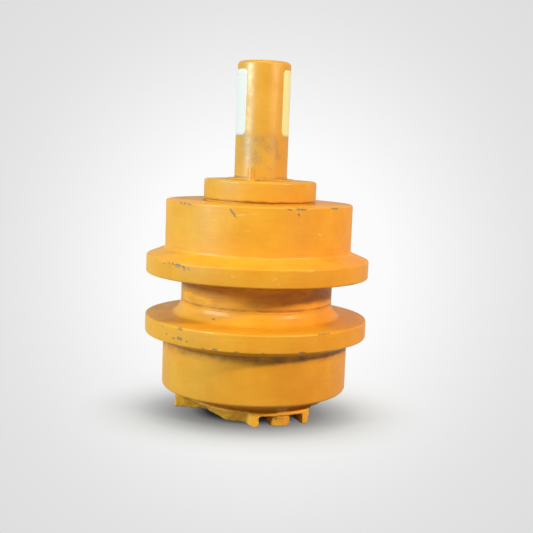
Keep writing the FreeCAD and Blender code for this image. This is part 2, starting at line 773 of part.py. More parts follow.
def make_nut():
    """The slotted nut that sets the play of the bearings."""
    bore = plus(thread_radius, size("thread_gap"))
    edge = minus(nut_radius, size("nut_chamfer"))
    nut = turned("shaft_nut", [
        (bore, nut_bottom),
        (edge, nut_bottom),
        (nut_radius, plus(nut_bottom, size("nut_chamfer"))),
        (nut_radius, nut_top),
        (bore, nut_top),
    ])
    slot_floor = minus(nut_radius, size("nut_slot_depth"))
    slot_out = plus(nut_radius, size("nut_slot_depth"))
    slot_side = f"({size('nut_slot_width')} / 2)"
    slot = draw_outline(new_sketch(nut, "slot_section", "XY_Plane", nut_bottom), [
        (slot_floor, f"(-{slot_side})"),
        (slot_out, f"(-{slot_side})"),
        (slot_out, slot_side),
        (slot_floor, slot_side),
    ])
    first = cut(nut, "slot", slot)
    around(nut, "slots", [first], NUT_SLOT_COUNT)
    return nut


def make_tab_washer():
    """The tab washer: a tongue in the shaft's slot and one outer tab bent into a slot of the nut."""
    inside = plus(thread_radius, size("thread_gap"))
    outside = plus(thread_radius, size("tab_washer_wall"))
    washer = turned("tab_washer", [
        (inside, nut_top),
        (outside, nut_top),
        (outside, outer_back),
        (inside, outer_back),
    ])
    tab_side = f"({size('tab_width')} / 2)"
    tab_start = minus(outside, size("tab_washer_thickness"))
    tab_end = plus(outside, size("tab_reach"))
    tab = draw_outline(new_sketch(washer, "tab_outline", "XY_Plane", nut_top), [
        (tab_start, f"(-{tab_side})"),
        (tab_end, f"(-{tab_side})"),
        (tab_end, tab_side),
        (tab_start, tab_side),
    ])
    first = pad(washer, "tab", tab, size("tab_washer_thickness"))
    around(washer, "tabs", [first], WASHER_TAB_COUNT)
    tongue_side = f"({size('key_slot_width')} / 2 - {size('thread_gap')})"
    tongue_in = plus(minus(thread_radius, size("key_slot_depth")), size("thread_gap"))
    tongue = draw_outline(new_sketch(washer, "tongue_outline", "XY_Plane", nut_top), [
        (tongue_in, f"(-{tongue_side})"),
        (plus(inside, size("tab_washer_thickness")), f"(-{tongue_side})"),
        (plus(inside, size("tab_washer_thickness")), tongue_side),
        (tongue_in, tongue_side),
    ])
    pad(washer, "tongue", tongue, size("tab_washer_thickness"))
    bend_in = plus(minus(nut_radius, size("nut_slot_depth")), size("thread_gap"))
    bend = draw_outline(new_sketch(washer, "bent_tab_side", "XZ_Plane"), [
        (bend_in, minus(nut_top, size("tab_reach"))),
        (plus(bend_in, size("tab_washer_thickness")), minus(nut_top, size("tab_reach"))),
        (plus(bend_in, size("tab_washer_thickness")), outer_back),
        (bend_in, outer_back),
    ])
    pad(washer, "bent_tab", bend, size("tab_width"), middle=True)
    return washer


def guard_edges(shape, across, height):
    """Names of the level straight edges that run outwards beside each guard's middle, at both sides of it."""
    names = []
    for number, edge in enumerate(shape.Edges, start=1):
        if not isinstance(edge.Curve, Part.Line):
            continue
        ends = [vertex.Point for vertex in edge.Vertexes]
        if any(abs(end.z - value(height)) > SAME_PLACE for end in ends):
            continue
        for bay in range(BAY_COUNT):
            back = FreeCAD.Rotation(FreeCAD.Vector(0, 0, 1), -FULL_TURN * bay / BAY_COUNT)
            turned_back = [back.multVec(end) for end in ends]
            if all(end.y < 0 and abs(abs(end.x) - value(across)) < SAME_PLACE for end in turned_back):
                names.append(f"Edge{number}")
    return names


def make_cap():
    """The cast end cap: spigot and flange, a cone below them, and three arched guards round its bolts."""
    bore = plus(plug_radius, size("thread_gap"))
    nose = size("cap_nose_lift")
    recess_top = plus(nose, size("plug_recess_depth"))
    recess = plus(plug_flange_radius, size("plug_recess_gap"))
    cavity = minus(cap_bore_radius, size("cap_spigot_wall"))
    plug_boss = plus(plug_radius, size("plug_boss_wall"))
    floor = plus(recess_top, size("cap_floor_wall"))
    boss_top = plus(floor, size("plug_boss_height"))
    spigot = minus(cap_bore_radius, size("seat_gap"))
    spigot_top = minus(plus(shell_bottom, size("cap_bore_depth")), size("running_gap"))
    groove_floor = minus(cap_bore_radius, size("cap_ring_section"), size("squeeze_gap"))
    groove_low = plus(shell_bottom, size("cap_ring_lift"))
    groove_high = plus(groove_low, size("cap_ring_section"), size("ring_slot_margin"))
    cap = turned("end_cap", [
        (bore, recess_top),
        (recess, recess_top),
        (recess, nose),
        (minus(cap_ledge_radius, size("cap_cone_width")), nose),
        (cap_ledge_radius, cap_ledge),
        (cap_flange_radius, plus(cap_ledge, size("cap_ledge_drop"))),
        (cap_flange_radius, shell_bottom),
        (spigot, shell_bottom),
        (spigot, groove_low),
        (groove_floor, groove_low),
        (groove_floor, groove_high),
        (spigot, groove_high),
        (spigot, spigot_top),
        (cavity, spigot_top),
        (cavity, floor),
        (plug_boss, floor),
        (plug_boss, boss_top),
        (bore, boss_top),
    ])

    foot = plus(half("bolt_head_width"), size("guard_foot_reach"))
    top = plus(half("bolt_head_width"), size("guard_top_reach"))
    pocket_back = minus(bolt_circle, half("bolt_head_width"), size("guard_pocket"))
    block_back = minus(pocket_back, size("guard_back"))
    block_side = draw_outline(new_sketch(cap, "guard_front", "XZ_Plane", block_back), [
        (f"(-{foot})", "0"),
        (foot, "0"),
        (top, cap_ledge),
        (f"(-{top})", cap_ledge),
    ])
    block = pad(cap, "guard_block", block_side, minus(guard_radius, block_back))

    arch_half = minus(foot, size("guard_wall"))
    below = size("guard_clearance")
    arch_side = draw_outline(new_sketch(cap, "arch_front", "XZ_Plane", pocket_back), [
        (f"(-{arch_half})", f"(-{below})"),
        (arch_half, f"(-{below})"),
        (arch_half, bolt_seat),
        (f"(-{arch_half})", bolt_seat),
    ])
    arch = cut(cap, "arch", arch_side, guard_radius, upwards=True)

    boss_ring = new_sketch(cap, "bolt_boss_circle", "XY_Plane", bolt_seat)
    draw_circle(boss_ring, "0", f"-{bolt_circle}", plus(bolt_radius, size("bolt_boss_wall")))
    boss = pad(cap, "bolt_boss", boss_ring, plus(size("guard_web"), size("cap_flange_thickness")))
    hole = new_sketch(cap, "bolt_hole_circle", "XY_Plane")
    draw_circle(hole, "0", f"-{bolt_circle}", plus(bolt_radius, size("bolt_hole_gap")))
    bolt_hole = cut(cap, "bolt_hole", hole)
    around(cap, "guards", [block, arch, boss, bolt_hole], BAY_COUNT)

    turned_off = draw_outline(new_sketch(cap, "guard_turning", "XZ_Plane"), [
        (guard_radius, f"(-{below})"),
        (plus(guard_radius, top), f"(-{below})"),
        (plus(guard_radius, top), plus(cap_ledge, below)),
        (guard_radius, plus(cap_ledge, below)),
    ])
    spin(cap, "Groove", "guard_turned_face", turned_off)
    doc.recompute()
    dress(cap, "Fillet", "arch_rounds", size("arch_round"), guard_edges(cap.Tip.Shape, arch_half, bolt_seat))
    doc.recompute()
    dress(cap, "Fillet", "foot_rounds", size("foot_round"), guard_edges(cap.Tip.Shape, foot, "0"))
    turn_about_axis(cap, size("cap_turn"))
    return cap


def make_hexagon(body, across):
    """Cuts six flats on a turned head."""
    flat_side = draw_outline(new_sketch(body, "flat_outline", "XY_Plane"), [
        (f"(-{across})", f"(-{across})"),
        (across, f"(-{across})"),
        (across, f"(-({across} / 2))"),
        (f"(-{across})", f"(-({across} / 2))"),
    ])
    first = cut(body, "flat", flat_side)
    around(body, "flats", [first], 6)


def make_bolt(number):
    """A cap bolt, head down, as a turned blank with six flats."""
    head_low = size("guard_clearance")
    head_high = plus(head_low, size("bolt_head_height"))
    tip = plus(head_high, size("bolt_length"))
    corner = f"({size('bolt_head_width')} / 2 / cos(30))"
    bolt = turned(f"cap_bolt_{number + 1}", [
        ("0", head_low),
        (f"({size('bolt_head_width')} / 2 - {size('bolt_head_bevel')} / 2)", head_low),
        (corner, plus(head_low, size("bolt_head_bevel"))),
        (corner, head_high),
        (bolt_radius, head_high),
        (bolt_radius, minus(tip, size("bolt_tip_chamfer"))),
        (minus(bolt_radius, size("bolt_tip_chamfer")), tip),
        ("0", tip),
    ])
    make_hexagon(bolt, size("bolt_head_width"))
    place_on_circle(bolt, bolt_circle, plus(size("cap_turn"), f"{FULL_TURN * number / BAY_COUNT}"))
    return bolt


def make_spring_washer(number):
    """A split spring washer under a bolt's head."""
    low = plus(size("guard_clearance"), size("bolt_head_height"))
    inside = plus(bolt_radius, size("thread_gap"))
    outside = plus(bolt_radius, size("spring_washer_wall"))
    washer = turned(f"spring_washer_{number + 1}", [
        (inside, low),
        (outside, low),
        (outside, bolt_seat),
        (inside, bolt_seat),
    ])
    split = draw_outline(new_sketch(washer, "split_side", "XZ_Plane"), [
        (f"({inside} / 2)", minus(low, size("spring_washer_split"))),
        (f"({outside} * 2)", minus(low, size("spring_washer_split"))),
        (f"({outside} * 2)", plus(bolt_seat, size("spring_washer_split"))),
        (f"({inside} / 2)", plus(bolt_seat, size("spring_washer_split"))),
    ])
    gap = washer.newObject("PartDesign::Pocket", "split")
    gap.Profile = split
    gap.setExpression("Length", size("spring_washer_split"))
    gap.Midplane = True
    place_on_circle(washer, bolt_circle, plus(size("cap_turn"), f"{FULL_TURN * number / BAY_COUNT}"))
    return washer


def make_plug():
    """The oil filler plug in the middle of the cap, with its copper washer."""
    seat = plus(size("cap_nose_lift"), size("plug_recess_depth"))
    flange_high = minus(seat, size("plug_washer_thickness"))
    flange_low = minus(flange_high, size("plug_flange_height"))
    head_low = minus(flange_low, size("plug_head_height"))
    head_corner = f"({size('plug_head_width')} / 2 / cos(30))"
    tip = plus(flange_high, size("plug_length"))
    blank = new_body("oil_plug")
    head = draw_outline(new_sketch(blank, "head_section", "XZ_Plane"), [
        ("0", head_low),
        (head_corner, head_low),
        (head_corner, flange_low),
        ("0", flange_low),
    ])
    spin(blank, "Revolution", "head_blank", head)
    make_hexagon(blank, size("plug_head_width"))
    stem = draw_outline(new_sketch(blank, "stem_section", "XZ_Plane"), [
        ("0", flange_low),
        (plug_flange_radius, flange_low),
        (plug_flange_radius, flange_high),
        (plug_radius, flange_high),
        (plug_radius, tip),
        ("0", tip),
    ])
    spin(blank, "Revolution", "flange_and_stem", stem)
    inside = plus(plug_radius, size("thread_gap"))
    outside = plus(plug_radius, size("plug_washer_wall"))
    washer = turned("oil_plug_washer", [
        (inside, flange_high),
        (outside, flange_high),
        (outside, seat),
        (inside, seat),
    ])
    return [blank, washer]


def make_round_rings():
    """The rings that seal the collar on the shaft and the cap in the shell."""
    collar_middle = plus(shoulder_top, size("collar_ring_lift"),
                         f"({size('collar_ring_section')} + {size('ring_slot_margin')}) / 2")
    cap_middle = plus(shell_bottom, size("cap_ring_lift"),
                      f"({size('cap_ring_section')} + {size('ring_slot_margin')}) / 2")
    collar_ring = make_rubber("collar_o_ring", collar_middle,
                              minus(seat_radius, half("collar_ring_section")),
                              minus(half("collar_ring_section"), size("film_gap")))
    cap_ring = make_rubber("cap_o_ring", cap_middle,
                           minus(cap_bore_radius, half("cap_ring_section"), size("film_gap")),
                           minus(half("cap_ring_section"), size("film_gap")))
    return [collar_ring, cap_ring]


nodes = [make_shaft(), make_collar(), make_dowel()]
nodes += make_round_rings()
nodes += make_seal_half("fixed", plus)
nodes += make_seal_half("running", minus)
nodes += make_bearing("inner", seat_radius, inner_back, minus)
nodes += make_bearing("outer", outer_seat_radius, outer_back, plus)
nodes += [make_nut(), make_tab_washer(), make_shell(), make_cap()]
nodes += [make_bolt(number) for number in range(BAY_COUNT)]
nodes += [make_spring_washer(number) for number in range(BAY_COUNT)]
nodes += make_plug()
doc.recompute()

for item in doc.Objects:
    if "Invalid" in item.State or "Error" in item.State:
        raise RuntimeError(f"{item.Label} failed to build: {item.State}")
for node in nodes:
    if node.Shape.isNull() or not node.Shape.isValid() or len(node.Shape.Solids) != 1:
        raise RuntimeError(f"{node.Label} is not one sound solid")

os.makedirs("parts", exist_ok=True)
for node in nodes:
    node.Shape.exportStep(f"parts/{node.Label}.step")
    box = node.Shape.BoundBox
    print(f"{node.Label:22s} volume {node.Shape.Volume:12.1f}  z {box.ZMin:8.2f} to {box.ZMax:8.2f}")
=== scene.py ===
from math import atan2, cos, degrees, pi, radians, sin, sqrt, tan

import bmesh
import bpy
from mathutils import Matrix, Vector


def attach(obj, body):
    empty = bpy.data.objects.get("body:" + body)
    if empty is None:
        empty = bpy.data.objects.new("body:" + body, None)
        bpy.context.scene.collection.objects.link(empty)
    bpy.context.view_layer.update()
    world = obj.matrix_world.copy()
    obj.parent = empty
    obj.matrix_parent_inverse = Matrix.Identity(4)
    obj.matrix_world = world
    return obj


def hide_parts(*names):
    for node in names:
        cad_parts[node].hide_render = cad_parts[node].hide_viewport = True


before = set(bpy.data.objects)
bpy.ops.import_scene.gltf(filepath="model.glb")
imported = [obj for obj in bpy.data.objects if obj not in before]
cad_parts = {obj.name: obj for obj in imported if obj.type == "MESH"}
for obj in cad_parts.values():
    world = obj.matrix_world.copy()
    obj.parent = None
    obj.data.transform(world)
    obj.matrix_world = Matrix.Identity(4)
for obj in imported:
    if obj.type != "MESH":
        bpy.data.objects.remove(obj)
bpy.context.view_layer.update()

# The shaft.
# A forged bar, turned all over: the long plain end for the bracket, a shoulder that carries the
# seal collar and the first bearing, two bearing seats and the nut's thread. Painted where it shows.
MM = 0.001
# The bar's yellow is darker than the shell's: painted shade against the stronger light the bar catches.
SHAFT_COLOUR_DARKENED = (0.67, 0.332, 0.024)
SHAFT_RADIUS = 32.5
# Browns for dirt and painted shade: in the groove, in creases and under overhangs, and for smudges and
# shaded flanks.
GROOVE_DIRT_AND_SHADE_BROWN, CREASE_DIRT_AND_SHADE_BROWN, SMUDGE_AND_SHADE_BROWN = (0.46, 0.20, 0.018), (0.27, 0.105, 0.012), (0.36, 0.205, 0.075)
SCRATCH_YELLOW, CHIP_EDGE = (0.92, 0.62, 0.2), (0.22, 0.085, 0.012)
DARK_METAL, PALE_METAL = (0.10, 0.085, 0.07), (0.42, 0.38, 0.33)


def lathe(name, outline, steps=192, closed=True):
    """Turns an outline of (radius, height, rounding radius) points in millimetres about Z."""
    turning = bmesh.new()
    corners = [turning.verts.new((radius * MM, 0, height * MM)) for radius, height, _ in outline]
    for start, end in zip(corners, corners[1:]):
        turning.edges.new((start, end))
    if closed:
        turning.edges.new((corners[-1], corners[0]))
    for corner, (_, _, rounding) in zip(corners, outline):
        if rounding:
            before, after = (edge.other_vert(corner).co - corner.co for edge in corner.link_edges)
            setback = rounding * MM * tan((pi - before.angle(after)) / 2)
            bmesh.ops.bevel(turning, geom=[corner], offset=setback, offset_type="OFFSET",
                            affect="VERTICES", segments=8, profile=0.5, material=-1)
    bmesh.ops.spin(turning, geom=turning.verts[:] + turning.edges[:], cent=(0, 0, 0), axis=(0, 0, 1),
                   dvec=(0, 0, 0), angle=2 * pi, steps=steps, use_merge=True)
    bmesh.ops.remove_doubles(turning, verts=turning.verts[:], dist=1e-6)
    bmesh.ops.recalc_face_normals(turning, faces=turning.faces[:])
    return piece_of(name, turning)


def piece_of(name, shape):
    """A shaded object from a finished bmesh."""
    mesh = bpy.data.meshes.new(name)
    shape.to_mesh(mesh)
    shape.free()
    mesh.shade_smooth()
    mesh.set_sharp_from_angle(angle=radians(32))
    piece = bpy.data.objects.new(name, mesh)
    bpy.context.scene.collection.objects.link(piece)
    return piece


def new_finish(name, roughness, metallic=0.0):
    """A new material with its node tree, its shader and the object coordinates."""
    material = bpy.data.materials.new(name)
    material.use_nodes = True
    tree = material.node_tree
    shader = tree.nodes["Principled BSDF"]
    shader.inputs["Roughness"].default_value = roughness
    shader.inputs["Metallic"].default_value = metallic
    place = tree.nodes.new("ShaderNodeTexCoord").outputs["Object"]
    return material, tree, shader, place


def put(tree, value, socket):
    """Feeds a socket from another one, or sets it to a plain value."""
    if isinstance(value, bpy.types.NodeSocket):
        tree.links.new(value, socket)
    else:
        socket.default_value = value


def noise(tree, place, grain, detail=3, low=0.0, high=1.0, stretch=(1, 1, 1), edge=(0.3, 0.7)):
    """Noise whose grain is in metres, mapped from between the two edges to between low and high."""
    mapping = tree.nodes.new("ShaderNodeMapping")
    mapping.inputs["Scale"].default_value = stretch
    put(tree, place, mapping.inputs["Vector"])
    speckle = tree.nodes.new("ShaderNodeTexNoise")
    speckle.inputs["Scale"].default_value = 1 / grain
    speckle.inputs["Detail"].default_value = detail
    tree.links.new(mapping.outputs["Vector"], speckle.inputs["Vector"])
    return between(tree, speckle.outputs["Fac"], edge, (low, high))


def between(tree, value, span, result):
    """Maps a value from one span to another and stops at its ends."""
    mapped = tree.nodes.new("ShaderNodeMapRange")
    put(tree, value, mapped.inputs["Value"])
    mapped.inputs["From Min"].default_value, mapped.inputs["From Max"].default_value = span
    mapped.inputs["To Min"].default_value, mapped.inputs["To Max"].default_value = result
    return mapped.outputs["Result"]


def blend(tree, share, first, second):
    """Mixes two colours by a share of the second."""
    mixer = tree.nodes.new("ShaderNodeMix")
    mixer.data_type = "RGBA"
    put(tree, share, mixer.inputs[0])
    for colour, socket in ((first, mixer.inputs[6]), (second, mixer.inputs[7])):
        put(tree, colour if isinstance(colour, bpy.types.NodeSocket) else (*colour, 1), socket)
    return mixer.outputs[2]


def sums(tree, kind, first, second):
    """One step of arithmetic on two values."""
    step = tree.nodes.new("ShaderNodeMath")
    step.operation = kind
    put(tree, first, step.inputs[0])
    put(tree, second, step.inputs[1])
    return step.outputs["Value"]


def relief(tree, shader, *heights):
    """Bump from pairs of a height value and its depth in metres."""
    normal = None
    for height, depth in heights:
        bump = tree.nodes.new("ShaderNodeBump")
        bump.inputs["Strength"].default_value = 1
        bump.inputs["Distance"].default_value = depth
        tree.links.new(height, bump.inputs["Height"])
        if normal:
            tree.links.new(normal, bump.inputs["Normal"])
        normal = bump.outputs["Normal"]
    tree.links.new(normal, shader.inputs["Normal"])


def on_roller(angle, radius, height):
    """A point in metres: an angle from the front to the right, a radius and a height in millimetres."""
    return Vector((radius * sin(radians(angle)), -radius * cos(radians(angle)), height)) * MM


def strokes(tree, place, marks, ragged):
    """How far the surface lies from the nearest stroke, in half widths of that stroke."""
    warp = tree.nodes.new("ShaderNodeTexNoise")
    warp.inputs["Scale"].default_value = 0.45 / ragged
    warp.inputs["Detail"].default_value = 3
    put(tree, place, warp.inputs["Vector"])
    shifted = arrows(tree, "MULTIPLY_ADD", warp.outputs["Color"], (3 * ragged,) * 3, place)
    centred = arrows(tree, "SUBTRACT", shifted, (1.5 * ragged,) * 3)
    nearest = None
    for start, end, half_width in marks:
        along = end - start
        offset = arrows(tree, "SUBTRACT", centred, start)
        share = arrows(tree, "DOT_PRODUCT", offset, along / along.length_squared)
        held = between(tree, share, (0, 1), (0, 1))
        foot = arrows(tree, "MULTIPLY_ADD", held, along, start)
        gap = sums(tree, "DIVIDE", arrows(tree, "DISTANCE", centred, foot), half_width)
        nearest = gap if nearest is None else sums(tree, "MINIMUM", nearest, gap)
    return nearest


def arrows(tree, kind, *values):
    """One step of vector arithmetic; the result is a value for a length, a distance or a product."""
    step = tree.nodes.new("ShaderNodeVectorMath")
    step.operation = kind
    for value, socket in zip(values, step.inputs):
        put(tree, value, socket)
    return step.outputs["Value" if kind in ("DOT_PRODUCT", "DISTANCE", "LENGTH") else "Vector"]


def creases(tree, place, rings):
    """One in rings round the roller's axis, each given as radius, height and reach in millimetres."""
    parts = tree.nodes.new("ShaderNodeSeparateXYZ")
    put(tree, place, parts.inputs["Vector"])
    half_plane = tree.nodes.new("ShaderNodeCombineXYZ")
    put(tree, arrows(tree, "LENGTH", arrows(tree, "MULTIPLY", place, (1, 1, 0))), half_plane.inputs["X"])
    put(tree, parts.outputs["Z"], half_plane.inputs["Z"])
    found = None
    for radius, height, reach in rings:
        gap = arrows(tree, "DISTANCE", half_plane.outputs["Vector"], (radius * MM, 0, height * MM))
        ring = between(tree, gap, (0.3 * reach * MM, reach * MM), (1, 0))
        found = ring if found is None else sums(tree, "MAXIMUM", found, ring)
    return found


def paint(name, colour, roughness=0.46, gloss=0.5, peel=0.03 * MM, unevenness=0.12 * MM, streaks=0.5,
          chips=(), scratches=(), smudges_and_shade=(), crease_dirt_and_shade=(), groove_dirt_and_shade=()):
    """Thick yellow machine paint over turning marks, chipped down to the grey metal, with its dirt
    and with painted shade in its creases and under its overhangs.

    Chips, scratches and the smudges, partly painted shade, are strokes; the crease and groove
    darkenings, dirt and painted shade together, are rings as creases takes them.
    """
    material, tree, shader, place = new_finish(name, roughness)
    shader.inputs["Specular IOR Level"].default_value = gloss
    deep = tuple(channel * share for channel, share in zip(colour, (0.93, 0.86, 0.6)))
    pale = tuple(min(1, channel * share) for channel, share in zip(colour, (1.04, 1.1, 1.6)))
    tone = blend(tree, noise(tree, place, 30 * MM, detail=5, edge=(0.25, 0.75)), deep, pale)
    turning = noise(tree, place, 1.1 * MM, detail=3, stretch=(0.03, 0.03, 1), edge=(0.35, 0.7))
    patchy = noise(tree, place, 22 * MM, detail=2, low=0.1, high=streaks)
    shade = tuple(channel * share for channel, share in zip(colour, (0.84, 0.74, 0.45)))
    tone = blend(tree, sums(tree, "MULTIPLY", turning, patchy), tone, shade)
    speck = noise(tree, place, 1.4 * MM, detail=2, low=0, high=0.3, edge=(0.52, 0.78))
    tone = blend(tree, speck, tone, shade)
    grain = noise(tree, place, 1.5 * MM, detail=2)
    swell = noise(tree, place, 17 * MM, detail=2)
    heights = [(swell, unevenness), (turning, 0.03 * MM), (grain, peel)]
    worn = noise(tree, place, 7 * MM, detail=4, low=roughness - 0.06, high=roughness + 0.12)
    tree.links.new(worn, shader.inputs["Roughness"])
    # The groove ring: brushed dirt streaks, also darkened as painted shade in the groove.
    if groove_dirt_and_shade:
        brushed = noise(tree, place, 8 * MM, detail=6, low=0, high=0.6, stretch=(0.3, 0.3, 1),
                        edge=(0.4, 0.62))
        groove_stain_and_shade = sums(tree, "MULTIPLY", creases(tree, place, groove_dirt_and_shade), brushed)
        tone = blend(tree, groove_stain_and_shade, tone, GROOVE_DIRT_AND_SHADE_BROWN)
        heights.append((groove_stain_and_shade, 0.4 * MM))
    # Crease rings: dirt and painted shade in creases and under overhangs.
    if crease_dirt_and_shade:
        patchy_crease_dirt_and_shade = noise(tree, place, 12 * MM, detail=6, low=0.1, high=0.85)
        crease_dirt_and_shade_share = sums(tree, "MULTIPLY", creases(tree, place, crease_dirt_and_shade), patchy_crease_dirt_and_shade)
        tone = blend(tree, crease_dirt_and_shade_share, tone, CREASE_DIRT_AND_SHADE_BROWN)
    # Smudge strokes: dirt, and painted shade on the shaft and down the dowel's flanks.
    if smudges_and_shade:
        smudge_and_shade_reach = between(tree, strokes(tree, place, smudges_and_shade, 6 * MM), (0.3, 1.6), (1, 0))
        smudge_and_shade_breakup = noise(tree, place, 2.2 * MM, detail=6, low=0.22, high=0.86)
        smudge_and_shade_share = sums(tree, "MULTIPLY", smudge_and_shade_reach, smudge_and_shade_breakup)
        tone = blend(tree, smudge_and_shade_share, tone, SMUDGE_AND_SHADE_BROWN)
    if scratches:
        scrape = between(tree, strokes(tree, place, scratches, 0.7 * MM), (0.4, 1.6), (0.6, 0))
        tone = blend(tree, scrape, tone, SCRATCH_YELLOW)
    if chips:
        near = strokes(tree, place, chips, 1.6 * MM)
        tone = blend(tree, between(tree, near, (1.0, 2.1), (0.8, 0)), tone, CHIP_EDGE)
        metal = blend(tree, noise(tree, place, 1.0 * MM), DARK_METAL, PALE_METAL)
        bare = between(tree, near, (0.75, 1.1), (1, 0))
        tone = blend(tree, bare, tone, metal)
        heights.append((sums(tree, "MULTIPLY", bare, -1.0), 0.25 * MM))
    tree.links.new(tone, shader.inputs["Base Color"])
    relief(tree, shader, *heights)
    return material


shaft = lathe("shaft_bar", [
    (0, 40.5, 0), (23.5, 40.5, 0), (25, 42, 0), (25, 58.5, 0), (27.5, 58.5, 0), (27.5, 85, 0),
    (30, 88, 0), (30, 200.4, 0), (33, 203.4, 0), (33, 237.4, 0), (40, 237.4, 0.3), (40, 253.4, 0.3),
    (33, 253.4, 0), (33, 261.4, 0), (29.5, 261.4, 0), (29.5, 265.9, 0), (33, 265.9, 0),
    (33, 287.9, 0.2), (SHAFT_RADIUS, 288.4, 0.2), (SHAFT_RADIUS, 427.7, 5), (5, 427.7, 0.3),
    (0, 419.7, 0),
], closed=False)
# Darker patches on the bar above the collar, partly dust and partly painted shade round the dowel.
dust_and_shade_places = [
    (on_roller(start, SHAFT_RADIUS, high), on_roller(end, SHAFT_RADIUS, low), half_width * MM)
    for start, high, end, low, half_width in (
        (-30, 333, -18, 312, 10), (-10, 334, 14, 326, 7), (24, 334, 38, 314, 4), (-6, 308, 20, 301, 2.5),
    )
]
# A crease ring paints shade, with some dirt, where the bar meets the collar's hub.
shaft.data.materials.append(paint("shaft_paint", SHAFT_COLOUR_DARKENED, roughness=0.4, gloss=0.7, streaks=0.35,
                                  smudges_and_shade=dust_and_shade_places, crease_dirt_and_shade=[(32.6, 287.6, 3)]))
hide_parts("shaft")
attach(shaft, "shaft")

# The two tapered roller bearings.
# Cones, cups and rollers of hardened bearing steel, ground and polished; pressed and phosphated
# sheet cages. They sit back to back, one at each end of the shell, and are never seen once fitted.


def ground_steel(name, colour, roughness, grain):
    """Turned or ground steel with fine rings about the roller's axis."""
    material, tree, shader, place = new_finish(name, roughness, metallic=1.0)
    rings = noise(tree, place, grain, detail=2, stretch=(0.02, 0.02, 1))
    dark = tuple(channel * 0.82 for channel in colour)
    tree.links.new(blend(tree, rings, dark, colour), shader.inputs["Base Color"])
    wear = noise(tree, place, 9 * MM, detail=3, low=roughness * 0.8, high=roughness * 1.35)
    tree.links.new(wear, shader.inputs["Roughness"])
    relief(tree, shader, (rings, 0.004 * MM))
    return material


def dress(node, material):
    """Gives a carried-over node its finish."""
    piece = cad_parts[node]
    piece.data.materials.clear()
    piece.data.materials.append(material)


race_steel = ground_steel("bearing_steel", (0.56, 0.56, 0.57), 0.22, 0.5 * MM)
cage_steel = ground_steel("cage_steel", (0.21, 0.20, 0.19), 0.5, 1.2 * MM)
for side in ("inner", "outer"):
    dress(f"{side}_bearing_cone", race_steel)
    dress(f"{side}_bearing_cup", race_steel)
    dress(f"{side}_bearing_cage", cage_steel)
    for number in range(1, 17):
        dress(f"{side}_roller_{number:02d}", race_steel)

# The shaft nut and its tab washer.
# A slotted nut of blackened steel sets the play of the bearings; the thin washer's tongue holds
# it by the key slot, and one of its tabs is bent into a slot of the nut.
black_steel = ground_steel("nut_steel", (0.10, 0.10, 0.105), 0.42, 0.8 * MM)
dress("shaft_nut", black_steel)
dress("tab_washer", ground_steel("washer_steel", (0.42, 0.42, 0.41), 0.35, 0.6 * MM))

# The face seal and the two round rings.
# Two lapped rings of hard cast iron run on each other, each pressed by a rubber ring on a slope;
# plain rubber rings close the joints between collar and shaft and between cap and shell.


def rubber(name):
    """Black moulded rubber with a faint bloom."""
    material, tree, shader, place = new_finish(name, 0.62)
    tone = blend(tree, noise(tree, place, 6 * MM), (0.012, 0.012, 0.013), (0.035, 0.035, 0.036))
    tree.links.new(tone, shader.inputs["Base Color"])
    relief(tree, shader, (noise(tree, place, 0.8 * MM), 0.02 * MM))
    return material


seal_iron = ground_steel("seal_iron", (0.33, 0.33, 0.34), 0.3, 0.4 * MM)
seal_rubber = rubber("seal_rubber")
for half in ("fixed", "running"):
    dress(f"{half}_seal_ring", seal_iron)
    dress(f"{half}_seal_rubber", seal_rubber)
for ring in ("collar_o_ring", "cap_o_ring"):
    dress(ring, seal_rubber)

# The roller shell.
# A forging of alloy steel, turned and hardened on its treads and flanges, with the cast groove
# left between them, then dipped in thick paint that is chipped along its edges.
SHELL_COLOUR = (0.79, 0.352, 0.017)
TREAD, FLANGE, GROOVE = 115, 137.6, 93.8
shell = lathe("shell_forging", [
    (55, 29.3, 0), (56.5, 27.8, 0), (TREAD, 27.8, 4), (TREAD, 86.97, 4), (FLANGE, 96.1, 2),
    (FLANGE, 117.2, 2), (102.6, 119.03, 7), (GROOVE, 130.3, 13), (GROOVE, 165.57, 9),
    (FLANGE, 169.4, 2), (FLANGE, 190.5, 2), (TREAD, 199.63, 4), (TREAD, 258.4, 2),
    (67.67, 258.4, 0.4), (67.67, 255.2, 0), (62.74, 255.2, 0),
    (60.52, 246.9, 0), (60.02, 246.9, 0), (60.02, 204.65, 0), (52.5, 204.65, 0), (52.5, 196.65, 0),
    (68, 181.15, 4), (68, 116.25, 4), (43.5, 91.75, 0), (43.5, 83.75, 0), (50.02, 83.75, 0),
    (50.02, 43.8, 0), (55, 43.8, 0),
], steps=256)


def marks(*places):
    """Strokes from rows of radius, first angle and height, second angle and height, and half width."""
    return [(on_roller(first, radius, low), on_roller(second, radius, high), wide * MM)
            for radius, first, low, second, high, wide in places]


